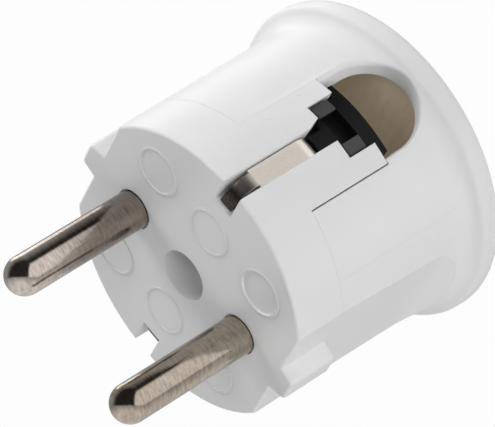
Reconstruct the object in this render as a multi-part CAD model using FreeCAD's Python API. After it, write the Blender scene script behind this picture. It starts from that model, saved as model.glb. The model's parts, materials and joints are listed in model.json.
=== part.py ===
import FreeCAD, Part
import math
import os

Vector = FreeCAD.Vector

# Rewireable type F plug, in millimetres.
# The plug stands on its rear flange with the pins up: Z is the plug's axis, the pins lie along X
# and the earth slots along Y. The origin is the middle of the rear face.
# A depth is a distance behind the engagement face, so it runs down from the face to the rear.

# Housing
BODY_LENGTH = 31.0
BODY_RADIUS = 18.3
FLAT_X = 16.1
SKIRT_LENGTH = 7.0
SEAM_GAP = 0.1
FACE_EDGE = 0.4
FACE_PLATE = 4.0
SKIRT_WALL = 2.2
SIDE_WALL = 2.0
FLAT_WALL = 1.5
REAR_WALL = 2.0

# Grip flange at the rear
FLANGE_REACH = 1.75
FLANGE_THICKNESS = 3.3
RIM_FRONT_ROUND = 0.9
RIM_REAR_ROUND = 1.6
FLARE_RADIUS = 2.3
RUNOUT_RADIUS = 6.0
FLAT_RISE = 0.5

# Guide ribs on the skirt's flats
RIB_REACH = 2.2
RIB_ROOT_WIDTH = 4.6
RIB_TOP_WIDTH = 3.6
RIB_SETBACK = 0.3
RIB_ROUND = 0.7

# Contact pins
PIN_PITCH = 19.0
PIN_DIAMETER = 4.8
PIN_LENGTH = 19.0
PIN_BOSS_WALL = 1.5
PIN_BOSS_LENGTH = 1.5
PIN_SHOULDER = 0.2
PIN_FOOT_GAP = 0.1
PIN_FIT = 0.03
PIN_RECESS_GAP = 0.12
PIN_RECESS_DEPTH = 0.3
STAKE_LENGTH = 2.4

# Terminals of the pins
TERMINAL_WIDTH = 7.0
TERMINAL_SCREW_DIAMETER = 3.0
TERMINAL_SCREW_HEAD = 4.4
TERMINAL_HEAD_HEIGHT = 1.2
TERMINAL_HEAD_GAP = 0.1
TERMINAL_SIDE_GAP = 0.4
WIRE_HOLE_DIAMETER = 3.0
WIRE_PASSAGE_DIAMETER = 3.6

# Earth slots and earth contact
SLOT_WIDTH = 2.8
SLOT_FLOOR_GAP = 0.2
SLOT_FLOOR_WALL = 1.4
SLOT_SIDE_WALL = 1.6
STRIP_SIDE_GAP = 0.15
STRIP_THICKNESS = 0.8
STRIP_BELOW_SURFACE = 0.7
STRIP_BEND = 2.2
STRIP_SETBACK = 0.5
STRIP_LIP = 3.2
NOSE_BEND = 3.1
NOSE_STEP = 0.35
BRIDGE_WIDTH = 8.0
BRIDGE_LENGTH = 25.0

# Earth terminal
EARTH_TERMINAL_Y = 8.5
EARTH_SCREW_DIAMETER = 3.5
EARTH_SCREW_HEAD = 6.0
EARTH_HEAD_HEIGHT = 2.0
EARTH_SCREW_REACH = 3.2
WASHER_WIDTH = 6.6
WASHER_THICKNESS = 0.8
EARTH_OPENING_GAP = 0.23

# Tongues of the insert and windows of the shell
TONGUE_WIDTH = 12.8
TONGUE_THICKNESS = 2.2
SLIT = 0.14
NOTCH_LENGTH = 3.9
NOTCH_WIDTH = 7.6
RELIEF_LENGTH = 1.8
RELIEF_WIDTH = 0.6
ARCH_TO_FLANGE = 0.4
ARCH_OPENING = 8.4
ARCH_INNER_WIDTH = 10.5
ARCH_EDGE_STEP = 0.52
ARCH_ROUND = 0.5
ARCH_LEAN = 0.4

# Contact carrier
CARRIER_CLEARANCE = 0.4
CARRIER_AHEAD_OF_NOTCH = 1.8
CARRIER_BEHIND_TONGUES = 1.5
CARRIER_FRONT_WALL = 1.8
CARRIER_SIDE_WALL = 2.0
CARRIER_KEY_GAP = 0.25
LUG_WIDTH = 1.6
LUG_FRONT_GAP = 0.4
LUG_REAR_STEP = 1.0
LUG_BELOW_SURFACE = 0.3
BLOCK_BEHIND_NOTCH = 1.2
BLOCK_BELOW_SURFACE = 1.5
RIM_FRONT_STEP = 0.6
RIM_BELOW_SURFACE = 1.0

# Centre screw, its well and its threaded insert
SCREW_Y = -0.9
WELL_DIAMETER = 6.35
WELL_DEPTH = 8.5
WELL_WALL = 1.7
CENTRE_SCREW_DIAMETER = 4.0
CENTRE_HEAD_GAP = 0.175
CENTRE_HEAD_HEIGHT = 2.6
CENTRE_SCREW_END = 22.0
SCREW_CLEARANCE = 0.15
INSERT_DIAMETER = 5.6
INSERT_LENGTH = 7.2
BOSS_WALL = 1.1
BOSS_CLEARANCE = 0.2
BOSS_PILOT_DEPTH = 1.5
SLEEVE_WALL = 1.2

# Cord inlet and cord clamp
INLET_DIAMETER = 8.0
INLET_ROUND = 0.9
CORD_DIAMETER = 7.0
SADDLE_WIDTH = 17.2
SADDLE_REAR_GAP = 1.7
CLAMP_BOSS_GAP = 0.3
CLAMP_BAR_THICKNESS = 2.0
CLAMP_BAR_WIDTH = 5.0
CLAMP_BAR_INSET = 0.2
CLAMP_RIDGE = 0.8
CLAMP_RIDGE_WIDTH = 1.2
CLAMP_SCREW_SPACING = 12.2
CLAMP_SCREW_DIAMETER = 2.6
CLAMP_SCREW_HEAD = 4.2
CLAMP_HEAD_HEIGHT = 1.6
CLAMP_TIP_WALL = 1.57

# Screw drives and thread play
DRIVE_WIDTH = 0.9
DRIVE_DEPTH = 0.8
THREAD_PLAY = 0.03

# Plain rings moulded on the engagement face
RING_RADIUS = 3.05
RING_LINE = 0.28
RING_HEIGHT = 0.1
RING_X = 9.1
RING_Y = 9.0
DISH_DEPTH = 0.15

# Places worked out from the sizes above
FACE_Z = BODY_LENGTH
SHELL_FRONT = SKIRT_LENGTH + SEAM_GAP
RIB_LENGTH = SKIRT_LENGTH - RIB_SETBACK
FLANGE_RADIUS = BODY_RADIUS + FLANGE_REACH
CAVITY_RADIUS = BODY_RADIUS - SIDE_WALL
CAVITY_FLAT = FLAT_X - FLAT_WALL
CAVITY_END = BODY_LENGTH - REAR_WALL
INSERT_RADIUS = CAVITY_RADIUS - CARRIER_CLEARANCE / 2
SKIRT_INNER_RADIUS = CAVITY_RADIUS - SKIRT_WALL / 2

WINDOW_HALF = TONGUE_WIDTH / 2 + SLIT
ARCH_END = BODY_LENGTH - FLANGE_THICKNESS - ARCH_TO_FLANGE
TONGUE_END = ARCH_END - ARCH_OPENING
TONGUE_INNER = BODY_RADIUS - TONGUE_THICKNESS
NOTCH_START = TONGUE_END - NOTCH_LENGTH
RELIEF_START = NOTCH_START - RELIEF_LENGTH

CARRIER_FRONT = NOTCH_START - CARRIER_AHEAD_OF_NOTCH
CARRIER_FLOOR = CARRIER_FRONT + CARRIER_FRONT_WALL
CARRIER_END = TONGUE_END + CARRIER_BEHIND_TONGUES
CARRIER_RADIUS = CAVITY_RADIUS - CARRIER_CLEARANCE
CARRIER_FLAT = CAVITY_FLAT - CARRIER_CLEARANCE
LUG_FRONT = NOTCH_START + LUG_FRONT_GAP
LUG_END = TONGUE_END - LUG_REAR_STEP
BLOCK_END = NOTCH_START + BLOCK_BEHIND_NOTCH
RIM_FRONT = TONGUE_END - RIM_FRONT_STEP

BRIDGE_END = CARRIER_FRONT
INNER_DEPTH = BRIDGE_END - STRIP_THICKNESS
STRIP_Y = BODY_RADIUS - STRIP_BELOW_SURFACE
STRIP_WIDTH = SLOT_WIDTH - 2 * STRIP_SIDE_GAP
SLOT_FLOOR = STRIP_Y - STRIP_LIP - SLOT_FLOOR_GAP
EARTH_OPENING_RADIUS = WASHER_WIDTH * math.sqrt(0.5) + EARTH_OPENING_GAP

PIN_X = PIN_PITCH / 2
PIN_RADIUS = PIN_DIAMETER / 2
PIN_ROOT_RADIUS = PIN_RADIUS - PIN_SHOULDER
TERMINAL_FRONT = FACE_PLATE + PIN_BOSS_LENGTH
TERMINAL_OUTER = CAVITY_FLAT - TERMINAL_SIDE_GAP - TERMINAL_HEAD_HEIGHT
TERMINAL_SCREW_DEPTH = BRIDGE_END - TERMINAL_HEAD_GAP - TERMINAL_SCREW_HEAD / 2

CENTRE_HEAD_DIAMETER = WELL_DIAMETER - 2 * CENTRE_HEAD_GAP
BOSS_RADIUS = INSERT_DIAMETER / 2 + BOSS_WALL
CLAMP_SEAT_Y = SCREW_Y - BOSS_RADIUS - CLAMP_BOSS_GAP - CLAMP_BAR_THICKNESS
CORD_Y = CLAMP_SEAT_Y - CORD_DIAMETER / 2
SADDLE_END = CAVITY_END - SADDLE_REAR_GAP
CLAMP_DEPTH = (CARRIER_END + SADDLE_END) / 2
CLAMP_SCREW_EDGE = (CLAMP_SCREW_SPACING + CLAMP_SCREW_DIAMETER) / 2
CLAMP_SCREW_REACH = math.sqrt(CARRIER_RADIUS**2 - CLAMP_SCREW_EDGE**2) + CLAMP_SEAT_Y - CLAMP_TIP_WALL
FAR = 3 * BODY_RADIUS


def height(depth):
    """Z of a point this far behind the engagement face."""
    return FACE_Z - depth


def block(x_low, x_high, y_low, y_high, front, rear):
    """Box between two depths."""
    corner = Vector(x_low, y_low, height(rear))
    return Part.makeBox(x_high - x_low, y_high - y_low, rear - front, corner)


def post(radius, front, rear, x=0.0, y=0.0):
    """Round post along the plug's axis between two depths."""
    return Part.makeCylinder(radius, rear - front, Vector(x, y, height(rear)))


def flatted(radius, flat_x, front, rear):
    """Round body with two side flats."""
    return post(radius, front, rear).common(block(-flat_x, flat_x, -FAR, FAR, front, rear))


def half_turn(shape):
    """The same shape on the other side of the plug's axis."""
    turned = shape.copy()
    turned.rotate(Vector(0, 0, 0), Vector(0, 0, 1), 180)
    return turned


def both_sides(shape):
    return shape.fuse(half_turn(shape))


def mirrored(shape):
    """The shape and its mirror image across the earth slots' plane."""
    return shape.fuse(shape.mirror(Vector(0, 0, 0), Vector(1, 0, 0)))


def joined(shapes):
    return shapes[0].multiFuse(shapes[1:]).removeSplitter()


def prism(points, direction):
    """Polygon swept along a direction."""
    return Part.Face(Part.makePolygon(points + points[:1])).extrude(direction)


def line(start, end):
    return Part.LineSegment(start, end).toShape()


def arc(start, middle, end):
    return Part.Arc(start, middle, end).toShape()


def corner_middle(centre, radius, right, up):
    """Middle of a quarter arc in the XZ plane, on the side that right and up point to."""
    reach = radius * math.sqrt(0.5)
    return Vector(centre.x + right * reach, 0, centre.z + up * reach)


def skirt_blank():
    """Skirt with its flats and guide ribs, rounded along the edge of the face."""
    root = RIB_ROOT_WIDTH / 2
    top = RIB_TOP_WIDTH / 2
    crest = FLAT_X + RIB_REACH
    rear = height(RIB_LENGTH)
    section = [
        Vector(FLAT_X - SKIRT_WALL, -root, rear),
        Vector(FLAT_X, -root, rear),
        Vector(crest, -top, rear),
        Vector(crest, top, rear),
        Vector(FLAT_X, root, rear),
        Vector(FLAT_X - SKIRT_WALL, root, rear),
    ]
    rib = prism(section, Vector(0, 0, RIB_LENGTH))
    crest_edges = [edge for edge in rib.Edges if edge.BoundBox.XMin > crest - 0.5 * RIB_ROUND]
    crest_edges = [edge for edge in crest_edges if edge.BoundBox.ZLength > 0.5 * RIB_LENGTH]
    rib = rib.makeFillet(RIB_ROUND, crest_edges)
    blank = joined([flatted(BODY_RADIUS, FLAT_X, 0, SKIRT_LENGTH), rib, half_turn(rib)])
    face_edges = [edge for edge in blank.Edges if edge.BoundBox.ZMin > FACE_Z - 0.5 * FACE_EDGE]
    return blank.makeFillet(FACE_EDGE, face_edges)


def tongues():
    """Four tongues, two beside each earth slot, that fill the front of the shell's windows."""
    half = TONGUE_WIDTH / 2
    ring = post(BODY_RADIUS, SKIRT_LENGTH, TONGUE_END).cut(post(TONGUE_INNER, SKIRT_LENGTH, TONGUE_END))
    strip = ring.common(block(-half, half, 0, FAR, SKIRT_LENGTH, TONGUE_END))
    notch = block(-NOTCH_WIDTH / 2, NOTCH_WIDTH / 2, 0, FAR, NOTCH_START, TONGUE_END)
    edge = -SLOT_WIDTH / 2
    relief = prism(
        [
            Vector(edge, 0, height(RELIEF_START)),
            Vector(edge, 0, height(NOTCH_START)),
            Vector(edge - RELIEF_WIDTH, 0, height(NOTCH_START)),
        ],
        Vector(0, FAR, 0),
    )
    return strip.cut(notch).cut(relief)


def face_rings():
    """Plain raised rings in two rows across the face."""
    places = [(-RING_X, RING_Y), (0, RING_Y), (RING_X, RING_Y)]
    places += [(-RING_X, -RING_Y), (0, -RING_Y), (RING_X, -RING_Y)]
    rings = []
    for x, y in places:
        outer = post(RING_RADIUS, -RING_HEIGHT, FACE_EDGE, x, y)
        rings.append(outer.cut(post(RING_RADIUS - RING_LINE, -RING_HEIGHT, FACE_EDGE, x, y)))
    return rings


def front_insert():
    cavity = flatted(SKIRT_INNER_RADIUS, CAVITY_FLAT, FACE_PLATE, SKIRT_LENGTH)
    skirt = skirt_blank().cut(cavity)
    trough_half = SLOT_WIDTH / 2 + SLOT_SIDE_WALL
    trough = block(-trough_half, trough_half, SLOT_FLOOR - SLOT_FLOOR_WALL, FAR, FACE_PLATE, INNER_DEPTH)
    trough = trough.common(post(INSERT_RADIUS, FACE_PLATE, INNER_DEPTH))
    spigot = post(INSERT_RADIUS, SKIRT_LENGTH, INNER_DEPTH)
    spigot = spigot.cut(post(INSERT_RADIUS - SKIRT_WALL, SKIRT_LENGTH, INNER_DEPTH))
    spigot_half = TONGUE_WIDTH / 2 + SKIRT_WALL
    spigot = spigot.common(block(-spigot_half, spigot_half, 0, FAR, SKIRT_LENGTH, INNER_DEPTH))
    root = post(BODY_RADIUS, FACE_PLATE, SKIRT_LENGTH)
    root = root.cut(post(INSERT_RADIUS - SKIRT_WALL, FACE_PLATE, SKIRT_LENGTH))
    root = root.common(block(-spigot_half, spigot_half, 0, FAR, FACE_PLATE, SKIRT_LENGTH))
    well = post(WELL_DIAMETER / 2 + WELL_WALL, 0.5 * FACE_PLATE, INNER_DEPTH, 0, SCREW_Y)
    pieces = [skirt, well, both_sides(trough), both_sides(spigot), both_sides(root), both_sides(tongues())]
    for side in (-1, 1):
        pieces.append(post(PIN_RADIUS + PIN_BOSS_WALL, 0.5 * FACE_PLATE, TERMINAL_FRONT, side * PIN_X))
    shape = joined(pieces + face_rings())
    slot = block(-SLOT_WIDTH / 2, SLOT_WIDTH / 2, SLOT_FLOOR, FAR, -FACE_EDGE, NOTCH_START)
    cuts = [slot, half_turn(slot)]
    cuts.append(post(WELL_DIAMETER / 2, -FACE_EDGE, WELL_DEPTH, 0, SCREW_Y))
    cuts.append(post(CENTRE_SCREW_DIAMETER / 2 + SCREW_CLEARANCE, 0, INNER_DEPTH, 0, SCREW_Y))
    cuts.append(post(RING_RADIUS - RING_LINE, -FACE_EDGE, DISH_DEPTH, RING_X, RING_Y))
    for side in (-1, 1):
        cuts.append(post(PIN_ROOT_RADIUS + PIN_FIT, -FACE_EDGE, TERMINAL_FRONT, side * PIN_X))
        cuts.append(post(PIN_RADIUS + PIN_RECESS_GAP, -FACE_EDGE, PIN_RECESS_DEPTH, side * PIN_X))
    return shape.cut(cuts)


def shell_blank():
    """Turned outside of the shell: flange, concave flare that runs smoothly into its rim, and plain body."""
    front = height(SHELL_FRONT)
    turn = math.acos(1 - FLANGE_REACH / (FLARE_RADIUS + RIM_FRONT_ROUND))
    rear_centre = Vector(FLANGE_RADIUS - RIM_REAR_ROUND, 0, RIM_REAR_ROUND)
    rim_start = FLANGE_THICKNESS - RIM_FRONT_ROUND * math.sin(turn)
    front_centre = Vector(FLANGE_RADIUS - RIM_FRONT_ROUND, 0, rim_start)
    flare_centre = Vector(BODY_RADIUS + FLARE_RADIUS, 0, FLANGE_THICKNESS + FLARE_RADIUS * math.sin(turn))
    halfway = Vector(math.cos(turn / 2), 0, math.sin(turn / 2))
    rear_flat_end = Vector(rear_centre.x, 0, 0)
    rim_low = Vector(FLANGE_RADIUS, 0, rear_centre.z)
    rim_high = Vector(FLANGE_RADIUS, 0, front_centre.z)
    rim_middle = front_centre + halfway * RIM_FRONT_ROUND
    flare_foot = Vector(flare_centre.x - FLARE_RADIUS * math.cos(turn), 0, FLANGE_THICKNESS)
    flare_middle = flare_centre - halfway * FLARE_RADIUS
    flare_head = Vector(BODY_RADIUS, 0, flare_centre.z)
    body_front = Vector(BODY_RADIUS, 0, front)
    edges = [
        line(Vector(0, 0, 0), rear_flat_end),
        arc(rear_flat_end, corner_middle(rear_centre, RIM_REAR_ROUND, 1, -1), rim_low),
        line(rim_low, rim_high),
        arc(rim_high, rim_middle, flare_foot),
        arc(flare_foot, flare_middle, flare_head),
        line(flare_head, body_front),
        line(body_front, Vector(0, 0, front)),
        line(Vector(0, 0, front), Vector(0, 0, 0)),
    ]
    return Part.Face(Part.Wire(edges)).revolve(Vector(0, 0, 0), Vector(0, 0, 1), 360)


def flat_cutter():
    """Takes off one side of the shell down to its flat, which rises to a rounded run-out."""
    top = height(0)
    front = height(SHELL_FRONT)
    slope = FLAT_RISE / (front - FLANGE_THICKNESS)
    turn = math.atan(slope)
    end_z = FLANGE_THICKNESS + RUNOUT_RADIUS * (1 - math.sin(turn))
    flat_start = Vector(FLAT_X - slope * (top - front), 0, top)
    flat_end = Vector(FLAT_X + slope * (front - end_z), 0, end_z)
    centre = flat_end + Vector(math.cos(turn), 0, math.sin(turn)) * RUNOUT_RADIUS
    halfway = 1.25 * math.pi + turn / 2
    runout_middle = centre + Vector(math.cos(halfway), 0, math.sin(halfway)) * RUNOUT_RADIUS
    runout_end = Vector(centre.x, 0, FLANGE_THICKNESS)
    edges = [
        line(flat_start, flat_end),
        arc(flat_end, runout_middle, runout_end),
        line(runout_end, Vector(FAR, 0, FLANGE_THICKNESS)),
        line(Vector(FAR, 0, FLANGE_THICKNESS), Vector(FAR, 0, top)),
        line(Vector(FAR, 0, top), flat_start),
    ]
    cutter = Part.Face(Part.Wire(edges)).extrude(Vector(0, 2 * FAR, 0))
    cutter.translate(Vector(0, -FAR, 0))
    return cutter


def arch_section(y):
    """Outline of a window's round end at one distance from the plug's middle plane."""
    inner_half = ARCH_INNER_WIDTH / 2
    outer_half = WINDOW_HALF - ARCH_EDGE_STEP
    inner_y = math.sqrt(CAVITY_RADIUS**2 - inner_half**2)
    outer_y = math.sqrt(BODY_RADIUS**2 - outer_half**2)
    half = inner_half + (y - inner_y) * (outer_half - inner_half) / (outer_y - inner_y)
    end = ARCH_END + ARCH_LEAN * (FLANGE_RADIUS - y) / (FLANGE_RADIUS - CAVITY_RADIUS)
    left = Vector(-half, y, height(end - half))
    right = Vector(half, y, height(end - half))
    front_left = Vector(-half, y, height(NOTCH_START))
    front_right = Vector(half, y, height(NOTCH_START))
    edges = [
        line(front_left, left),
        arc(left, Vector(0, y, height(end)), right),
        line(right, front_right),
        line(front_right, front_left),
    ]
    return Part.Wire(edges)


def arch_cutter():
    """Round end of one window, with sides that slope in from the outside."""
    return Part.makeLoft([arch_section(CAVITY_RADIUS - SIDE_WALL), arch_section(FLANGE_RADIUS)], True, True)


def is_arch_rim(edge):
    """True for an edge where a window's sloping sides meet the outside of the shell."""
    middle = edge.valueAt((edge.FirstParameter + edge.LastParameter) / 2)
    outside = math.hypot(middle.x, middle.y) > BODY_RADIUS - SLIT and abs(middle.x) < WINDOW_HALF
    return outside and height(BODY_LENGTH - FLANGE_THICKNESS - SLIT) < middle.z < height(NOTCH_START + SLIT)


def window_cutter():
    """Straight front of one window, open at the seam and closed behind the tongues."""
    return block(-WINDOW_HALF, WINDOW_HALF, CAVITY_RADIUS - SIDE_WALL, FAR, 0, TONGUE_END + SLIT)


def rear_shell():
    shape = shell_blank().cut([flat_cutter(), half_turn(flat_cutter())])
    shape = shape.cut(flatted(CAVITY_RADIUS, CAVITY_FLAT, SHELL_FRONT, CAVITY_END))
    shape = shape.cut([arch_cutter(), half_turn(arch_cutter())])
    shape = shape.makeFillet(ARCH_ROUND, [edge for edge in shape.Edges if is_arch_rim(edge)])
    shape = shape.cut([window_cutter(), half_turn(window_cutter())])
    boss = post(BOSS_RADIUS, CARRIER_FLOOR, CAVITY_END + 0.5 * REAR_WALL, 0, SCREW_Y)
    shape = joined([shape, boss])
    insert_end = CARRIER_FLOOR + INSERT_LENGTH
    seat = post(INSERT_DIAMETER / 2, CARRIER_FLOOR, insert_end, 0, SCREW_Y)
    pilot_radius = CENTRE_SCREW_DIAMETER / 2 + SCREW_CLEARANCE
    pilot_end = max(insert_end, CENTRE_SCREW_END) + BOSS_PILOT_DEPTH
    pilot = post(pilot_radius, CARRIER_FLOOR, pilot_end, 0, SCREW_Y)
    inlet = post(INLET_DIAMETER / 2, CAVITY_END, BODY_LENGTH, 0, CORD_Y)
    mouth_centre = Vector(0, CORD_Y, INLET_ROUND)
    mouth = Part.makeCylinder(INLET_DIAMETER / 2 + INLET_ROUND, INLET_ROUND, Vector(0, CORD_Y, 0))
    lip = Part.makeTorus(INLET_DIAMETER / 2 + INLET_ROUND, INLET_ROUND, mouth_centre)
    return shape.cut([seat, pilot, inlet, mouth.cut(lip)])


def pin(side):
    """Round contact pin with a domed tip, a thinner root in the face and a staked rear end."""
    x = side * PIN_X
    tip = FACE_Z + PIN_LENGTH - PIN_RADIUS
    shank = post(PIN_RADIUS, PIN_RADIUS - PIN_LENGTH, -PIN_FOOT_GAP, x)
    dome = Part.makeSphere(PIN_RADIUS, Vector(x, 0, tip))
    root = post(PIN_ROOT_RADIUS, -PIN_FOOT_GAP, TERMINAL_FRONT, x)
    stake = post(WIRE_HOLE_DIAMETER / 2, TERMINAL_FRONT, TERMINAL_FRONT + STAKE_LENGTH, x)
    return joined([shank, dome, root, stake])


def terminal(side):
    """Brass terminal block: one bore takes the staked pin and the wire, and a screw hole meets it."""
    half = TERMINAL_WIDTH / 2
    shape = block(PIN_X - half, TERMINAL_OUTER, -half, half, TERMINAL_FRONT, BRIDGE_END)
    shape = shape.common(post(SKIRT_INNER_RADIUS - TERMINAL_SIDE_GAP, TERMINAL_FRONT, BRIDGE_END))
    bore = post(WIRE_HOLE_DIAMETER / 2, TERMINAL_FRONT, BRIDGE_END, PIN_X)
    start = Vector(PIN_X, 0, height(TERMINAL_SCREW_DEPTH))
    screw_hole_radius = TERMINAL_SCREW_DIAMETER / 2 + THREAD_PLAY
    screw_hole = Part.makeCylinder(screw_hole_radius, TERMINAL_OUTER, start, Vector(1, 0, 0))
    shape = shape.cut([bore, screw_hole])
    return shape if side > 0 else half_turn(shape)


def screw(shank_diameter, shank_length, head_diameter, head_height, seat, outward):
    """Slotted screw: the head stands on seat and points outward."""
    shank = Part.makeCylinder(shank_diameter / 2, shank_length, seat, outward * -1)
    head = Part.makeCylinder(head_diameter / 2, head_height, seat, outward)
    drive = Part.makeBox(head_diameter * 2, DRIVE_WIDTH, DRIVE_DEPTH * 2)
    drive.translate(Vector(-head_diameter, -DRIVE_WIDTH / 2, -DRIVE_DEPTH))
    turn = FreeCAD.Rotation(Vector(0, 0, 1), outward)
    drive.Placement = FreeCAD.Placement(seat + outward * head_height, turn).multiply(drive.Placement)
    return joined([shank, head]).cut(drive)


def terminal_screw(side):
    outward = Vector(side, 0, 0)
    seat = Vector(side * TERMINAL_OUTER, 0, height(TERMINAL_SCREW_DEPTH))
    reach = TERMINAL_OUTER - PIN_X - WIRE_HOLE_DIAMETER / 2
    return screw(TERMINAL_SCREW_DIAMETER, reach, TERMINAL_SCREW_HEAD, TERMINAL_HEAD_HEIGHT, seat, outward)


def bow_section(inset):
    """Rounded outline of the bent strip in the YZ plane, drawn in by an inset."""
    y = STRIP_Y - inset
    front = STRIP_SETBACK + inset
    rear = BRIDGE_END - inset
    solid = block(-STRIP_WIDTH / 2, STRIP_WIDTH / 2, -y, y, front, rear)
    bends = [edge for edge in solid.Edges if edge.BoundBox.XLength > 0.5 * STRIP_WIDTH]
    middle = height((front + rear) / 2)
    rear_bends = [edge for edge in bends if edge.CenterOfMass.z < middle]
    solid = solid.makeFillet(STRIP_BEND - inset, rear_bends)
    noses = [edge for edge in solid.Edges if edge.BoundBox.ZMin > height(front + 0.5 * STRIP_THICKNESS)]
    noses = [edge for edge in noses if edge.BoundBox.XLength > 0.5 * STRIP_WIDTH]
    return solid.makeFillet(NOSE_BEND - inset, noses)


def earth_contact():
    """One strip: a flat bridge behind the insert and an arm along each earth slot."""
    bow = bow_section(0).cut(bow_section(STRIP_THICKNESS))
    mouth_half = STRIP_Y - STRIP_LIP
    mouth = block(-FAR, FAR, -mouth_half, mouth_half, 0, INNER_DEPTH - STRIP_BEND)
    half = BRIDGE_WIDTH / 2
    bridge = block(-half, half, -BRIDGE_LENGTH / 2, BRIDGE_LENGTH / 2, INNER_DEPTH, BRIDGE_END)
    edge = STRIP_WIDTH / 2 - NOSE_STEP
    nose_side = block(edge, FAR, -FAR, FAR, STRIP_SETBACK, STRIP_SETBACK + NOSE_BEND)
    bow = bow.cut([mouth, nose_side, half_turn(nose_side)])
    shape = joined([bow, bridge])
    screw_hole = post(CENTRE_SCREW_DIAMETER / 2 + SCREW_CLEARANCE, INNER_DEPTH, BRIDGE_END, 0, SCREW_Y)
    earth_radius = EARTH_SCREW_DIAMETER / 2 + THREAD_PLAY
    earth_hole = post(earth_radius, INNER_DEPTH, BRIDGE_END, 0, EARTH_TERMINAL_Y)
    return shape.cut([screw_hole, earth_hole])


def earth_clamp_washer():
    half = WASHER_WIDTH / 2
    low = EARTH_TERMINAL_Y - half
    end = BRIDGE_END + WASHER_THICKNESS
    plate = block(-half, half, low, low + WASHER_WIDTH, BRIDGE_END, end)
    return plate.cut(post(EARTH_SCREW_DIAMETER / 2 + SCREW_CLEARANCE, BRIDGE_END, end, 0, EARTH_TERMINAL_Y))


def earth_terminal_screw():
    seat = Vector(0, EARTH_TERMINAL_Y, height(BRIDGE_END + WASHER_THICKNESS))
    reach = WASHER_THICKNESS + STRIP_THICKNESS + EARTH_SCREW_REACH
    return screw(EARTH_SCREW_DIAMETER, reach, EARTH_SCREW_HEAD, EARTH_HEAD_HEIGHT, seat, Vector(0, 0, -1))


def window_keys():
    """Lugs, middle block and rim that show in one window between the tongues."""
    inside = NOTCH_WIDTH / 2 - CARRIER_KEY_GAP
    foot = CARRIER_RADIUS - CARRIER_SIDE_WALL / 2
    lug = block(inside - LUG_WIDTH, inside, foot, FAR, LUG_FRONT, LUG_END)
    lugs = mirrored(lug).common(post(BODY_RADIUS - LUG_BELOW_SURFACE, LUG_FRONT, LUG_END))
    narrow = SLOT_WIDTH / 2 - CARRIER_KEY_GAP
    wide = inside - LUG_WIDTH
    middle = block(-narrow, narrow, foot, FAR, CARRIER_FRONT, BLOCK_END)
    middle = middle.fuse(block(-wide, wide, foot, FAR, NOTCH_START + CARRIER_KEY_GAP, BLOCK_END))
    middle = middle.common(post(BODY_RADIUS - BLOCK_BELOW_SURFACE, CARRIER_FRONT, BLOCK_END))
    reach = ARCH_INNER_WIDTH / 2 - CARRIER_KEY_GAP
    rim = block(-inside, inside, foot, FAR, RIM_FRONT, CARRIER_END)
    rim = rim.fuse(block(-reach, reach, foot, FAR, TONGUE_END + CARRIER_KEY_GAP, CARRIER_END))
    rim = rim.common(post(BODY_RADIUS - RIM_BELOW_SURFACE, RIM_FRONT, CARRIER_END))
    return lugs.fuse([middle, rim])


def cord_saddle():
    """Saddle behind the carrier that the cord lies in, under the clamp bar."""
    half = SADDLE_WIDTH / 2
    body = post(CARRIER_RADIUS, CARRIER_FLOOR, SADDLE_END)
    body = body.common(block(-half, half, -FAR, CLAMP_SEAT_Y, CARRIER_FLOOR, SADDLE_END))
    channel = post(CORD_DIAMETER / 2, CARRIER_FLOOR, SADDLE_END, 0, CORD_Y)
    open_top = block(-CORD_DIAMETER / 2, CORD_DIAMETER / 2, CORD_Y, 0, CARRIER_FLOOR, SADDLE_END)
    return body.cut([channel, open_top])


def contact_carrier():
    """Black insulating cup that closes the insert from behind and clips between its tongues."""
    cup = flatted(CARRIER_RADIUS, CARRIER_FLAT, CARRIER_FRONT, CARRIER_END)
    inner_radius = CARRIER_RADIUS - CARRIER_SIDE_WALL
    cup = cup.cut(flatted(inner_radius, CARRIER_FLAT - CARRIER_SIDE_WALL, CARRIER_FLOOR, CARRIER_END))
    sleeve_radius = BOSS_RADIUS + BOSS_CLEARANCE
    sleeve = post(sleeve_radius + SLEEVE_WALL, CARRIER_FRONT, CARRIER_END, 0, SCREW_Y)
    shape = joined([cup, both_sides(window_keys()), sleeve, cord_saddle()])
    cuts = [post(sleeve_radius, CARRIER_FLOOR, SADDLE_END, 0, SCREW_Y)]
    cuts.append(post(CENTRE_SCREW_DIAMETER / 2 + SCREW_CLEARANCE, CARRIER_FRONT, CARRIER_FLOOR, 0, SCREW_Y))
    cuts.append(post(EARTH_OPENING_RADIUS, CARRIER_FRONT, CARRIER_FLOOR, 0, EARTH_TERMINAL_Y))
    for side in (-1, 1):
        cuts.append(post(WIRE_PASSAGE_DIAMETER / 2, CARRIER_FRONT, CARRIER_FLOOR, side * PIN_X))
        seat = Vector(side * CLAMP_SCREW_SPACING / 2, CLAMP_SEAT_Y, height(CLAMP_DEPTH))
        hole_radius = CLAMP_SCREW_DIAMETER / 2 + THREAD_PLAY
        cuts.append(Part.makeCylinder(hole_radius, CLAMP_SCREW_REACH + THREAD_PLAY, seat, Vector(0, -1, 0)))
    return shape.cut(cuts)


def centre_screw():
    seat = Vector(0, SCREW_Y, height(WELL_DEPTH))
    outward = Vector(0, 0, 1)
    length = CENTRE_SCREW_END - WELL_DEPTH
    return screw(CENTRE_SCREW_DIAMETER, length, CENTRE_HEAD_DIAMETER, CENTRE_HEAD_HEIGHT, seat, outward)


def threaded_insert():
    end = CARRIER_FLOOR + INSERT_LENGTH
    shape = post(INSERT_DIAMETER / 2, CARRIER_FLOOR, end, 0, SCREW_Y)
    return shape.cut(post(CENTRE_SCREW_DIAMETER / 2 + THREAD_PLAY, CARRIER_FLOOR, end, 0, SCREW_Y))


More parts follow.
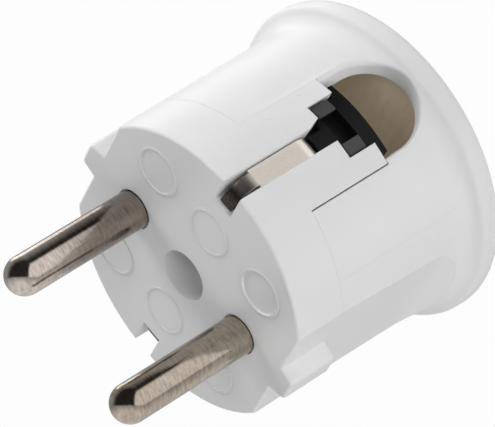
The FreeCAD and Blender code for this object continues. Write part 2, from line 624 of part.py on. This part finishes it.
def cord_clamp_bar():
    """Bar across the saddle, with a ridge that bites the cord."""
    half = SADDLE_WIDTH / 2 - CLAMP_BAR_INSET
    front = CLAMP_DEPTH - CLAMP_BAR_WIDTH / 2
    rear = CLAMP_DEPTH + CLAMP_BAR_WIDTH / 2
    bar = block(-half, half, CLAMP_SEAT_Y, CLAMP_SEAT_Y + CLAMP_BAR_THICKNESS, front, rear)
    ridge_half = CORD_DIAMETER / 2 - CARRIER_KEY_GAP
    ridge_front = CLAMP_DEPTH - CLAMP_RIDGE_WIDTH / 2
    ridge_rear = CLAMP_DEPTH + CLAMP_RIDGE_WIDTH / 2
    ridge = block(-ridge_half, ridge_half, CLAMP_SEAT_Y - CLAMP_RIDGE, CLAMP_SEAT_Y, ridge_front, ridge_rear)
    holes = []
    for side in (-1, 1):
        start = Vector(side * CLAMP_SCREW_SPACING / 2, CLAMP_SEAT_Y, height(CLAMP_DEPTH))
        hole_radius = CLAMP_SCREW_DIAMETER / 2 + SCREW_CLEARANCE
        holes.append(Part.makeCylinder(hole_radius, CLAMP_BAR_THICKNESS, start, Vector(0, 1, 0)))
    return joined([bar, ridge]).cut(holes)


def cord_clamp_screws():
    screws = []
    for side in (-1, 1):
        x = side * CLAMP_SCREW_SPACING / 2
        seat = Vector(x, CLAMP_SEAT_Y + CLAMP_BAR_THICKNESS, height(CLAMP_DEPTH))
        reach = CLAMP_BAR_THICKNESS + CLAMP_SCREW_REACH
        screws.append(
            screw(CLAMP_SCREW_DIAMETER, reach, CLAMP_SCREW_HEAD, CLAMP_HEAD_HEIGHT, seat, Vector(0, 1, 0))
        )
    return Part.makeCompound(screws)


PIECES = {
    "front_insert": front_insert(),
    "rear_shell": rear_shell(),
    "contact_carrier": contact_carrier(),
    "line_pin": pin(-1),
    "neutral_pin": pin(1),
    "line_terminal": terminal(-1),
    "neutral_terminal": terminal(1),
    "line_terminal_screw": terminal_screw(-1),
    "neutral_terminal_screw": terminal_screw(1),
    "earth_contact": earth_contact(),
    "earth_clamp_washer": earth_clamp_washer(),
    "earth_terminal_screw": earth_terminal_screw(),
    "centre_screw": centre_screw(),
    "threaded_insert": threaded_insert(),
    "cord_clamp_bar": cord_clamp_bar(),
    "cord_clamp_screws": cord_clamp_screws(),
}

os.makedirs("parts", exist_ok=True)
for name, shape in PIECES.items():
    shape.exportStep("parts/" + name + ".step")
    print(name, len(shape.Solids), "solids, valid", shape.isValid(), "volume", round(shape.Volume, 2))
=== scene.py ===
import json
import math

import bpy
from mathutils import Matrix, Vector
from mathutils.bvhtree import BVHTree


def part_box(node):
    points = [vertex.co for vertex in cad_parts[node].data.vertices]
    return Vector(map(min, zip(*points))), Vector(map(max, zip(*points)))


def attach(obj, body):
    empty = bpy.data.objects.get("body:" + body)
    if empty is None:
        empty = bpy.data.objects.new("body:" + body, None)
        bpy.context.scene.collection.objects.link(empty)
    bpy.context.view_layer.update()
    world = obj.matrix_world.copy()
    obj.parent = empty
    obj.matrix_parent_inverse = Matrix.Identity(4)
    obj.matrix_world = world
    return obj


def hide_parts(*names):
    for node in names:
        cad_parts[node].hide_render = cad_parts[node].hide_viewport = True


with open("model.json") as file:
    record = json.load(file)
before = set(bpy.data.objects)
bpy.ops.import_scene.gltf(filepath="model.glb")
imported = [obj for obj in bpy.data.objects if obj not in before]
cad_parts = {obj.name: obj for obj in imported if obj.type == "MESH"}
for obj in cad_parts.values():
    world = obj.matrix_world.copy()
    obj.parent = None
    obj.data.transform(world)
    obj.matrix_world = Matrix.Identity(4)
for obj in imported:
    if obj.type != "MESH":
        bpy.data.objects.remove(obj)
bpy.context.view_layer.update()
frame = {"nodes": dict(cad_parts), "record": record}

FACE_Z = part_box("front_insert")[1].z
SEAM_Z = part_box("rear_shell")[1].z

# Camera, fitted to the photograph: the plug stands on its rear face, so the camera is rolled.
CAMERA_PLACE = (0.121236, 0.435541, 0.302017)
CAMERA_RIGHT = (0.62733, 0.29091, -0.72238)
CAMERA_BACK = (0.23099, 0.81635, 0.52935)
CAMERA_UP = (-0.74371, 0.49894, -0.44492)
CAMERA_LENS_MM = 338.4
CAMERA_SENSOR_MM = 36.0

# Floor: sizes in metres, its grey, and the share of plain white that the camera sees in it.
WHITE = (1.0, 1.0, 1.0, 1.0)
FLOOR_SIZE = 3.0
FLOOR_DROP = 0.00002
FLOOR_GREY = (0.86, 0.86, 0.86, 1.0)
FLOOR_WHITE_SHARE = 0.96

# Softboxes: name, azimuth and elevation in degrees, distance and size in metres, watts.
SOFTBOXES = [
    ("left_key", 170.0, 12.0, 1.2, 0.6, 11.2),
    ("left_rim", 200.0, 12.0, 1.2, 0.6, 1.6),
    ("front_key", 90.0, 42.0, 1.0, 0.5, 1.6),
    ("front_fill", 68.0, 12.0, 1.2, 0.6, 2.9),
    ("right_fill", 20.0, 12.0, 1.2, 0.6, 3.7),
    ("back_fill", 270.0, 20.0, 1.2, 0.6, 1.8),
]
SOFTBOX_AIM = (0.0, 0.0, 0.02)

# Studio surround, as directions from the plug: a white table below the photograph's view, brighter
# near by, a pale wall to the right, a dark room that grows lighter away from the camera, and a round
# light behind. Each level is a pair: how brightly it lights the plug, and how brightly it shows in
# reflections, where it stands in for the softboxes and the floor.
BACKLIGHT_TOWARDS = (-0.8693, -0.3143, -0.3829)
TABLE_FAR = (0.355, 0.45)
TABLE_NEAR = (0.355, 0.95)
WALL = (0.36, 1.04)
ROOM_FRONT = (0.02, 0.03)
ROOM_BACK = (0.10, 0.40)
BACKLIGHT = (0.10, 1.7)

# Cosines between which the surround passes from one level to the next.
TABLE_EDGE = (-0.21, -0.14)
TABLE_DEPTH = (-0.7, -0.2)
WALL_EDGE = (0.34, 0.50)
ROOM_DEPTH = (-0.4, 0.15)
BACKLIGHT_EDGE = (0.962, 0.975)

# Shell and insert, in metres: the outside, the cavity, the joint to the skirt and the windows' walls.
BODY_RADIUS = 0.0183
CAVITY_RADIUS = 0.0163
CAVITY_FLAT = 0.0146
CAVITY_FLOOR = 0.002
SEAM_GAP = 0.0001
WALL_TOLERANCE = 0.000002
WINDOW_HALF = 0.00654
TIGHT_WALL_SHIFT = 0.00013
LOOSE_WALL_SHIFT = 0.00003

# Fine raised lines along the shell where its mould parts: angles from +X in degrees, then the heights
# between which they run and a section of (aside, outwards) points, in metres.
PARTING_ANGLES = (41.0, 221.0)
PARTING_SPAN = (0.0056, 0.0236)
PARTING_STEPS = 24
PARTING_SECTION = ((-0.00013, -0.00002), (0.0, 0.000016), (0.00013, -0.00002), (0.0, -0.00006))

# Small round marks on one tongue of each pair, in metres: x and the depth behind the face, then their
# radius, their height, and how far their edge and their underside sink into the tongue.
MARKS = ((-0.00509, 0.01047), (-0.00573, 0.01572))
MARK_RADIUS = 0.00035
MARK_HEIGHT = 0.00005
MARK_EDGE_SINK = 0.00003
MARK_UNDER_SINK = 0.00006
MARK_POINTS = 16

# Distance from the axis at which the rays that find the outside start, in metres.
FAR_OUT = 0.05

# Rounding of moulded and stamped edges, in metres.
PLASTIC_ROUND = 0.00015
STRIP_ROUND = 0.00008
ROUND_SAMPLES = 6

# Materials. A pattern is a noise texture's scale, about one over the size of its marks in metres, its
# detail and, where it is drawn out, its stretch. Shades are stops of a ramp: places and colours. A
# bump is a depth in metres and a strength, and a roughness is a span.
WHITE_MOTTLE = (90.0, 4.0)
WHITE_WAVES = (260.0, 2.0)
WHITE_GRAIN = (5200.0, 2.0)
WHITE_SHADES = [(0.3, (0.80, 0.80, 0.81)), (0.7, (0.84, 0.84, 0.845))]
WHITE_ROUGHNESS = (0.30, 0.42)
WHITE_REFRACTION = 1.5
WHITE_WAVE_BUMP = (0.00004, 0.25)
WHITE_GRAIN_BUMP = (0.000004, 0.3)

INSIDE_STREAKS = (900.0, 3.0, (1.0, 0.25, 0.6))
INSIDE_GRAIN = (4000.0, 2.0)
# Painted light: the warm shades and the glow stand in for light that the white walls let through.
INSIDE_PAINTED_WARM_SHADES = [(0.35, (0.76, 0.66, 0.50)), (0.65, (0.84, 0.74, 0.58))]
INSIDE_ROUGHNESS = (0.5, 0.7)
INSIDE_PAINTED_GLOW_COLOUR = (1.0, 0.84, 0.60, 1.0)
INSIDE_PAINTED_GLOW = 0.07
INSIDE_GRAIN_BUMP = (0.00001, 0.4)

BLACK_MOTTLE = (300.0, 4.0)
BLACK_GRAIN = (6000.0, 2.0)
# Painted shade and light: the black is darker on its deep surfaces and lighter on its proud tops.
BLACK_PAINTED_SHADE_STOPS = [(0.0, (0.009, 0.009, 0.010)), (0.6, (0.006, 0.006, 0.007)), (1.0, (0.075, 0.074, 0.077))]
BLACK_ROUGHNESS = (0.3, 0.5)
BLACK_SHINE = 0.15
BLACK_GRAIN_BUMP = (0.000008, 0.4)

PIN_MARKS = (7000.0, 4.0, (0.05, 0.05, 1.0))
PIN_SCUFFS = (3200.0, 4.0, (0.3, 0.3, 1.0))
PIN_ROUGHNESS = (0.04, 0.22)
PIN_SCUFF_BUMP = (0.000005, 0.4)
PIN_MARK_BUMP = (0.000008, 0.6)
LINE_PIN_FOOT = (0.33, 0.275, 0.235)
LINE_PIN_TIP = (0.55, 0.485, 0.435)
NEUTRAL_PIN_FOOT = (0.45, 0.39, 0.32)
NEUTRAL_PIN_TIP = (0.46, 0.395, 0.325)

STRIP_SPECKS = (4200.0, 4.0)
STRIP_LINES = (2500.0, 3.0, (1.0, 1.0, 0.08))
STRIP_CLEAN = [(0.30, (0.80, 0.72, 0.63)), (0.42, (0.89, 0.81, 0.725)), (0.70, (0.93, 0.86, 0.79))]
# The noses' colours are a painted dark reflection.
STRIP_PAINTED_DARK_REFLECTION = [(0.3, (0.034, 0.029, 0.024)), (0.7, (0.115, 0.099, 0.083))]
STRIP_ROUGHNESS = (0.26, 0.42)
STRIP_LINE_BUMP = (0.000005, 0.5)

METAL_STAINS = (420.0, 5.0)
METAL_LINE_BUMP = (0.000005, 0.5)
BRASS_LINES = (2500.0, 3.0, (0.1, 0.1, 1.0))
BRASS_SHADES = [(0.3, (0.70, 0.50, 0.22)), (0.7, (0.82, 0.64, 0.34))]
BRASS_ROUGHNESS = (0.2, 0.4)
STEEL_LINES = (2500.0, 3.0, (1.0, 1.0, 0.1))
STEEL_SHADES = [(0.3, (0.50, 0.50, 0.50)), (0.7, (0.68, 0.68, 0.69))]
STEEL_ROUGHNESS = (0.2, 0.42)

# Gains of a stain, the colour itself and a bright scuff, with their places on a pin's ramp.
SCUFF_GAINS = ((0.3, 0.76), (0.5, 1.0), (0.7, 1.2))

# Distances from the axis between which the black plastic turns from painted shade to a painted lighter
# tone, in metres.
PAINTED_SHADE_RADII = (0.0165, 0.0180)

# Heights above the engagement face between which the pins turn from their foot colour to their tip colour,
# in metres.
FOOT_TO_TIP_HEIGHTS = (0.006, 0.015)

# Heights from the engagement face between which the earth strips turn from bright to a painted dark
# reflection, in metres.
PAINTED_DARK_NOSE_HEIGHTS = (-0.0021, -0.0012)

# Places of the mix node's sockets: the share, two numbers and two colours in, number and colour out.
MIX_SHARE = 0
MIX_NUMBERS = (2, 3)
MIX_COLOURS = (6, 7)
MIXED_NUMBER = 0
MIXED_COLOUR = 2


def new_material(name):
    """Returns a new material, its node tree and its principled shader."""
    material = bpy.data.materials.new(name)
    material.use_nodes = True
    tree = material.node_tree
    return material, tree, tree.nodes["Principled BSDF"]


def add(tree, kind, **settings):
    """Adds a node of a kind, with its settings."""
    node = tree.nodes.new(kind)
    for key, value in settings.items():
        setattr(node, key, value)
    return node


def object_coordinates(tree):
    return add(tree, "ShaderNodeTexCoord").outputs["Object"]


def height_of(tree, coordinates):
    parts = add(tree, "ShaderNodeSeparateXYZ")
    tree.links.new(coordinates, parts.inputs["Vector"])
    return parts.outputs["Z"]


def radius_of(tree, coordinates):
    """Returns the distance from the plug's axis."""
    level = add(tree, "ShaderNodeVectorMath", operation="MULTIPLY")
    level.inputs[1].default_value = (1.0, 1.0, 0.0)
    tree.links.new(coordinates, level.inputs[0])
    radius = add(tree, "ShaderNodeVectorMath", operation="LENGTH")
    tree.links.new(level.outputs["Vector"], radius.inputs[0])
    return radius.outputs["Value"]


def noise(tree, coordinates, scale, detail, stretch=None):
    """Returns the value of a noise texture, with features about 1 / scale metres in size."""
    if stretch:
        mapping = add(tree, "ShaderNodeMapping")
        mapping.inputs["Scale"].default_value = stretch
        tree.links.new(coordinates, mapping.inputs["Vector"])
        coordinates = mapping.outputs["Vector"]
    texture = add(tree, "ShaderNodeTexNoise")
    texture.inputs["Scale"].default_value = scale
    texture.inputs["Detail"].default_value = detail
    tree.links.new(coordinates, texture.inputs["Vector"])
    return texture.outputs["Fac"]


def ramp(tree, value, stops):
    """Maps a value to colours: stops are (place, colour) pairs."""
    node = add(tree, "ShaderNodeValToRGB")
    elements = node.color_ramp.elements
    while len(elements) < len(stops):
        elements.new(0.5)
    for element, (place, colour) in zip(elements, stops):
        element.position = place
        element.color = (*colour, 1.0)
    tree.links.new(value, node.inputs["Fac"])
    return node.outputs["Color"]


def spread(tree, value, low, high):
    """Maps a value in 0 to 1 to the span from low to high."""
    node = add(tree, "ShaderNodeMapRange")
    node.inputs["To Min"].default_value = low
    node.inputs["To Max"].default_value = high
    tree.links.new(value, node.inputs["Value"])
    return node.outputs["Result"]


def share_of(tree, value, low, high, step="SMOOTHSTEP"):
    """Returns 0 to 1 as a value goes from low to high."""
    node = add(tree, "ShaderNodeMapRange", interpolation_type=step)
    node.inputs["From Min"].default_value = low
    node.inputs["From Max"].default_value = high
    tree.links.new(value, node.inputs["Value"])
    return node.outputs["Result"]


def mix_numbers(tree, share, first, second):
    """Goes from one number to another as the share goes from 0 to 1."""
    mix = add(tree, "ShaderNodeMix")
    tree.links.new(share, mix.inputs[MIX_SHARE])
    tree.links.new(first, mix.inputs[MIX_NUMBERS[0]])
    tree.links.new(second, mix.inputs[MIX_NUMBERS[1]])
    return mix.outputs[MIXED_NUMBER]


def mix_colours(tree, share, first, second):
    """Goes from one colour to another as the share goes from 0 to 1."""
    mix = add(tree, "ShaderNodeMix", data_type="RGBA")
    tree.links.new(share, mix.inputs[MIX_SHARE])
    tree.links.new(first, mix.inputs[MIX_COLOURS[0]])
    tree.links.new(second, mix.inputs[MIX_COLOURS[1]])
    return mix.outputs[MIXED_COLOUR]


def bump(tree, shader, heights, rounding=None):
    """Chains bump nodes over rounded edges: heights are (value, depth in metres, strength) rows."""
    normal = None
    if rounding:
        edges = add(tree, "ShaderNodeBevel", samples=ROUND_SAMPLES)
        edges.inputs["Radius"].default_value = rounding
        normal = edges.outputs["Normal"]
    for value, depth, strength in heights:
        node = add(tree, "ShaderNodeBump")
        node.inputs["Distance"].default_value = depth
        node.inputs["Strength"].default_value = strength
        tree.links.new(value, node.inputs["Height"])
        if normal:
            tree.links.new(normal, node.inputs["Normal"])
        normal = node.outputs["Normal"]
    tree.links.new(normal, shader.inputs["Normal"])


def white_plastic():
    """Semi-gloss white with a faint mottle, slow waves and a fine grain."""
    material, tree, shader = new_material("white_plastic_look")
    place = object_coordinates(tree)
    mottle = noise(tree, place, *WHITE_MOTTLE)
    grain = noise(tree, place, *WHITE_GRAIN)
    waves = noise(tree, place, *WHITE_WAVES)
    tree.links.new(ramp(tree, mottle, WHITE_SHADES), shader.inputs["Base Color"])
    tree.links.new(spread(tree, mottle, *WHITE_ROUGHNESS), shader.inputs["Roughness"])
    shader.inputs["IOR"].default_value = WHITE_REFRACTION
    bump(tree, shader, [(waves, *WHITE_WAVE_BUMP), (grain, *WHITE_GRAIN_BUMP)], PLASTIC_ROUND)
    return material


def painted_glow_inside():
    """Inside of the rear shell: unpolished and streaked, with a painted warm tint and a painted glow for
    the light its walls let through.
    """
    material, tree, shader = new_material("painted_glow_inside_look")
    place = object_coordinates(tree)
    streaks = noise(tree, place, *INSIDE_STREAKS)
    grain = noise(tree, place, *INSIDE_GRAIN)
    tree.links.new(ramp(tree, streaks, INSIDE_PAINTED_WARM_SHADES), shader.inputs["Base Color"])
    tree.links.new(spread(tree, streaks, *INSIDE_ROUGHNESS), shader.inputs["Roughness"])
    # Painted glow: the inside gives off a little warm light of its own, standing in for light let through
    # the walls.
    shader.inputs["Emission Color"].default_value = INSIDE_PAINTED_GLOW_COLOUR
    shader.inputs["Emission Strength"].default_value = INSIDE_PAINTED_GLOW
    bump(tree, shader, [(grain, *INSIDE_GRAIN_BUMP)])
    return material


def black_plastic():
    """Satin black, painted darker as shade in its recesses and painted lighter where the piece stands proud
    near the housing's surface.
    """
    material, tree, shader = new_material("black_plastic_look")
    place = object_coordinates(tree)
    mottle = noise(tree, place, *BLACK_MOTTLE)
    grain = noise(tree, place, *BLACK_GRAIN)
    # Painted shade and light: the colour follows the distance from the axis.
    proud = share_of(tree, radius_of(tree, place), *PAINTED_SHADE_RADII, "LINEAR")
    tree.links.new(ramp(tree, proud, BLACK_PAINTED_SHADE_STOPS), shader.inputs["Base Color"])
    tree.links.new(spread(tree, mottle, *BLACK_ROUGHNESS), shader.inputs["Roughness"])
    shader.inputs["Specular IOR Level"].default_value = BLACK_SHINE
    bump(tree, shader, [(grain, *BLACK_GRAIN_BUMP)], PLASTIC_ROUND)
    return material


def metal(name, tool_lines, stain_shades, roughness):
    """Machined metal of the inner pieces, with stains and fine tool lines along or across the piece."""
    material, tree, shader = new_material(name)
    place = object_coordinates(tree)
    stain = noise(tree, place, *METAL_STAINS)
    lines = noise(tree, place, *tool_lines)
    tree.links.new(ramp(tree, stain, stain_shades), shader.inputs["Base Color"])
    tree.links.new(spread(tree, lines, *roughness), shader.inputs["Roughness"])
    shader.inputs["Metallic"].default_value = 1.0
    bump(tree, shader, [(lines, *METAL_LINE_BUMP)])
    return material


def scuffed(colour):
    """Returns a stain, the colour itself and a bright scuff as stops of a ramp."""
    return [(place, tuple(part * gain for part in colour)) for place, gain in SCUFF_GAINS]


def nickel(name, foot, tip):
    """Nickel plate with turning marks round the pin, and a colour each for its foot and its tip."""
    material, tree, shader = new_material(name)
    place = object_coordinates(tree)
    marks = noise(tree, place, *PIN_MARKS)
    scuffs = noise(tree, place, *PIN_SCUFFS)
    foot_end, tip_start = FOOT_TO_TIP_HEIGHTS
    towards_tip = share_of(tree, height_of(tree, place), FACE_Z + foot_end, FACE_Z + tip_start)
    at_foot = ramp(tree, scuffs, scuffed(foot))
    at_tip = ramp(tree, scuffs, scuffed(tip))
    tree.links.new(mix_colours(tree, towards_tip, at_foot, at_tip), shader.inputs["Base Color"])
    tree.links.new(spread(tree, scuffs, *PIN_ROUGHNESS), shader.inputs["Roughness"])
    shader.inputs["Metallic"].default_value = 1.0
    bump(tree, shader, [(scuffs, *PIN_SCUFF_BUMP), (marks, *PIN_MARK_BUMP)])
    return material


def nickel_strip():
    """Rolled strip with specks, and noses painted dark as the dark reflection on their bend."""
    material, tree, shader = new_material("nickel_strip_look")
    place = object_coordinates(tree)
    specks = noise(tree, place, *STRIP_SPECKS)
    lines = noise(tree, place, *STRIP_LINES)
    bright_height, painted_dark_height = PAINTED_DARK_NOSE_HEIGHTS
    # Painted reflection: the noses are coloured dark where their bend would reflect dark surroundings.
    nose = share_of(tree, height_of(tree, place), FACE_Z + bright_height, FACE_Z + painted_dark_height)
    at_flank = ramp(tree, specks, STRIP_CLEAN)
    painted_dark_nose = ramp(tree, specks, STRIP_PAINTED_DARK_REFLECTION)
    tree.links.new(mix_colours(tree, nose, at_flank, painted_dark_nose), shader.inputs["Base Color"])
    tree.links.new(spread(tree, lines, *STRIP_ROUGHNESS), shader.inputs["Roughness"])
    shader.inputs["Metallic"].default_value = 1.0
    bump(tree, shader, [(lines, *STRIP_LINE_BUMP)], STRIP_ROUND)
    return material


def make_materials():
    """Returns the materials by slot, with one of its own for each pin and for the shell's inside, which
    carries painted warm light.
    """
    return {
        "white_plastic": white_plastic(),
        "painted_glow_inside": painted_glow_inside(),
        "black_plastic": black_plastic(),
        "line_pin": nickel("darker_foot_nickel_look", LINE_PIN_FOOT, LINE_PIN_TIP),
        "neutral_pin": nickel("nickel_look", NEUTRAL_PIN_FOOT, NEUTRAL_PIN_TIP),
        "nickel_strip": nickel_strip(),
        "brass": metal("brass_look", BRASS_LINES, BRASS_SHADES, BRASS_ROUGHNESS),
        "screw_steel": metal("screw_steel_look", STEEL_LINES, STEEL_SHADES, STEEL_ROUGHNESS),
    }


def dress_nodes(materials):
    """Gives every solid of the frame its own material or that of its slot."""
    for part in frame["record"]["subparts"]:
        node = frame["nodes"][part["node"]]
        node.data.materials.clear()
        node.data.materials.append(materials.get(part["node"]) or materials[part["material_slot"]])


def in_cavity(point):
    """Tells whether a point lies on the shell's inner walls."""
    in_round = math.hypot(point.x, point.y) < CAVITY_RADIUS + SEAM_GAP
    in_flats = abs(point.x) < CAVITY_FLAT + SEAM_GAP
    return in_round and in_flats and point.z > CAVITY_FLOOR - SEAM_GAP


def make_shell(materials):
    """The rear shell, with its front edge closed up to the skirt and its windows a touch off centre."""
    mesh = frame["nodes"]["rear_shell"].data.copy()
    mesh.name = "rear_shell_moulding"
    for vertex in mesh.vertices:
        if abs(abs(vertex.co.x) - WINDOW_HALF) < WALL_TOLERANCE and abs(vertex.co.y) > CAVITY_FLAT:
            shift = TIGHT_WALL_SHIFT if vertex.co.x * vertex.co.y < 0 else LOOSE_WALL_SHIFT
            vertex.co.x += math.copysign(shift, vertex.co.y)
        if abs(vertex.co.z - SEAM_Z) < SEAM_GAP / 2:
            vertex.co.z += SEAM_GAP
    mesh.materials.clear()
    mesh.materials.append(materials["white_plastic"])
    mesh.materials.append(materials["painted_glow_inside"])
    # The inner walls take the inside material, with its painted warm tint and painted glow.
    for face in mesh.polygons:
        face.material_index = int(in_cavity(face.center))
    shell = bpy.data.objects.new("rear_shell_moulding", mesh)
    bpy.context.scene.collection.objects.link(shell)
    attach(shell, "root")
    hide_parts("rear_shell")


def surface_of(node):
    """Returns a search tree over the faces of one of the frame's solids."""
    mesh = frame["nodes"][node].data
    points = [vertex.co for vertex in mesh.vertices]
    return BVHTree.FromPolygons(points, [face.vertices for face in mesh.polygons])


def above(surface, angle, z, lift):
    """Returns a point over a solid's outside, at an angle round the axis and a height."""
    away = Vector((math.cos(angle), math.sin(angle), 0.0))
    hit = surface.ray_cast(away * FAR_OUT + Vector((0.0, 0.0, z)), -away)[0]
    return hit + away * lift


def add_detail(name, points, faces, material):
    """Makes a small moulded detail of the body from its points and faces."""
    mesh = bpy.data.meshes.new(name)
    mesh.from_pydata(points, [], faces)
    mesh.materials.append(material)
    piece = bpy.data.objects.new(name, mesh)
    bpy.context.scene.collection.objects.link(piece)
    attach(piece, "root")


def make_parting_lines(material):
    """Sweeps the lines' section up the shell's outside."""
    surface = surface_of("rear_shell")
    low, high = PARTING_SPAN
    corners = len(PARTING_SECTION)
    points = []
    faces = []
    for degrees in PARTING_ANGLES:
        first = len(points)
        for step in range(PARTING_STEPS + 1):
            z = low + (high - low) * step / PARTING_STEPS
            for aside, lift in PARTING_SECTION:
                points.append(above(surface, math.radians(degrees) + aside / BODY_RADIUS, z, lift))
        last = len(points) - corners
        for row in range(first, last, corners):
            after = row + corners
            for corner in range(corners):
                beside = (corner + 1) % corners
                faces.append((row + corner, row + beside, after + beside, after + corner))
        faces.append(tuple(reversed(range(first, first + corners))))
        faces.append(tuple(range(last, last + corners)))
    add_detail("shell_parting_lines", points, faces, material)


def make_tongue_marks(material):
    """Low cones on one tongue of each pair, each closed below by a cone inside the tongue."""
    surface = surface_of("front_insert")
    points = []
    faces = []
    for side in (1, -1):
        for x, depth in MARKS:
            middle = math.atan2(side * math.sqrt(BODY_RADIUS**2 - x**2), side * x)
            z = FACE_Z - depth
            first = len(points)
            for step in range(MARK_POINTS):
                turn = 2 * math.pi * step / MARK_POINTS
                angle = middle + MARK_RADIUS * math.cos(turn) / BODY_RADIUS
                points.append(above(surface, angle, z + MARK_RADIUS * math.sin(turn), -MARK_EDGE_SINK))
            top = len(points)
            points.append(above(surface, middle, z, MARK_HEIGHT))
            under = len(points)
            points.append(above(surface, middle, z, -MARK_UNDER_SINK))
            for step in range(MARK_POINTS):
                beside = (step + 1) % MARK_POINTS
                faces.append((first + step, first + beside, top))
                faces.append((first + beside, first + step, under))
    add_detail("tongue_marks", points, faces, material)


def floor_look():
    """Pale grey that keeps the plug's shadow, and nearly plain white where the camera sees it."""
    material = bpy.data.materials.new("floor_look")
    material.use_nodes = True
    tree = material.node_tree
    tree.nodes.clear()
    diffuse = add(tree, "ShaderNodeBsdfDiffuse")
    diffuse.inputs["Color"].default_value = FLOOR_GREY
    white = add(tree, "ShaderNodeEmission")
    white.inputs["Strength"].default_value = 1.0
    ray = add(tree, "ShaderNodeLightPath")
    mix = add(tree, "ShaderNodeMixShader")
    tree.links.new(spread(tree, ray.outputs["Is Camera Ray"], 0.0, FLOOR_WHITE_SHARE), mix.inputs["Fac"])
    tree.links.new(diffuse.outputs["BSDF"], mix.inputs[1])
    tree.links.new(white.outputs["Emission"], mix.inputs[2])
    out = add(tree, "ShaderNodeOutputMaterial")
    tree.links.new(mix.outputs["Shader"], out.inputs["Surface"])
    return material


def make_floor():
    mesh = bpy.data.meshes.new("floor")
    half = FLOOR_SIZE / 2
    corners = [(x, y, -FLOOR_DROP) for x, y in ((-half, -half), (half, -half), (half, half), (-half, half))]
    mesh.from_pydata(corners, [], [(0, 1, 2, 3)])
    mesh.materials.append(floor_look())
    floor = bpy.data.objects.new("floor", mesh)
    bpy.context.scene.collection.objects.link(floor)
    floor.visible_glossy = False


def facing(tree, direction, axis, span, step="SMOOTHSTEP"):
    """Returns 0 to 1 as a direction turns towards an axis, over a span of cosines."""
    along = add(tree, "ShaderNodeVectorMath", operation="DOT_PRODUCT")
    along.inputs[1].default_value = axis
    tree.links.new(direction, along.inputs[0])
    return share_of(tree, along.outputs["Value"], *span, step)


def make_world():
    """The studio surround, which the camera itself sees as plain white."""
    world = bpy.data.worlds.new("studio")
    world.use_nodes = True
    tree = world.node_tree
    background = tree.nodes["Background"]
    direction = add(tree, "ShaderNodeTexCoord").outputs["Generated"]
    ray = add(tree, "ShaderNodeLightPath")

    def level(pair):
        return spread(tree, ray.outputs["Is Glossy Ray"], *pair)

    near_camera = facing(tree, direction, CAMERA_BACK, ROOM_DEPTH, "LINEAR")
    room = mix_numbers(tree, near_camera, level(ROOM_BACK), level(ROOM_FRONT))
    backlight = facing(tree, direction, BACKLIGHT_TOWARDS, BACKLIGHT_EDGE)
    lit_room = mix_numbers(tree, backlight, room, level(BACKLIGHT))
    wall = facing(tree, direction, CAMERA_RIGHT, WALL_EDGE)
    upper = mix_numbers(tree, wall, lit_room, level(WALL))
    far = facing(tree, direction, CAMERA_UP, TABLE_DEPTH, "LINEAR")
    table = mix_numbers(tree, far, level(TABLE_NEAR), level(TABLE_FAR))
    above_table = facing(tree, direction, CAMERA_UP, TABLE_EDGE)
    around = mix_numbers(tree, above_table, table, upper)
    shown = add(tree, "ShaderNodeMapRange")
    shown.inputs["To Max"].default_value = 1.0
    tree.links.new(ray.outputs["Is Camera Ray"], shown.inputs["Value"])
    tree.links.new(around, shown.inputs["To Min"])
    tree.links.new(shown.outputs["Result"], background.inputs["Strength"])
    background.inputs["Color"].default_value = WHITE
    bpy.context.scene.world = world


def make_lights():
    """Softboxes that light the plug without showing in it or to the camera."""
    aim = Vector(SOFTBOX_AIM)
    for name, azimuth, elevation, distance, size, watts in SOFTBOXES:
        light = bpy.data.lights.new(name, "AREA")
        light.shape = "SQUARE"
        light.size = size
        light.energy = watts
        lamp = bpy.data.objects.new(name, light)
        turn = math.radians(azimuth)
        rise = math.radians(elevation)
        away = Vector((math.cos(turn) * math.cos(rise), math.sin(turn) * math.cos(rise), math.sin(rise)))
        lamp.location = aim + away * distance
        lamp.rotation_euler = away.to_track_quat("Z", "Y").to_euler()
        lamp.visible_glossy = False
        lamp.visible_camera = False
        bpy.context.scene.collection.objects.link(lamp)


def make_camera():
    right = Vector(CAMERA_RIGHT).normalized()
    back = Vector(CAMERA_BACK).normalized()
    axes = Matrix((right, back.cross(right), back)).transposed()
    camera = bpy.data.cameras.new("camera")
    camera.sensor_width = CAMERA_SENSOR_MM
    camera.sensor_fit = "HORIZONTAL"
    camera.lens = CAMERA_LENS_MM
    viewer = bpy.data.objects.new("camera", camera)
    viewer.matrix_world = Matrix.Translation(CAMERA_PLACE) @ axes.to_4x4()
    bpy.context.scene.collection.objects.link(viewer)
    bpy.context.scene.camera = viewer


bpy.context.scene.view_settings.view_transform = "Standard"
looks = make_materials()
dress_nodes(looks)
make_shell(looks)
make_parting_lines(looks["white_plastic"])
make_tongue_marks(looks["white_plastic"])
make_floor()
make_world()
make_lights()
make_camera()
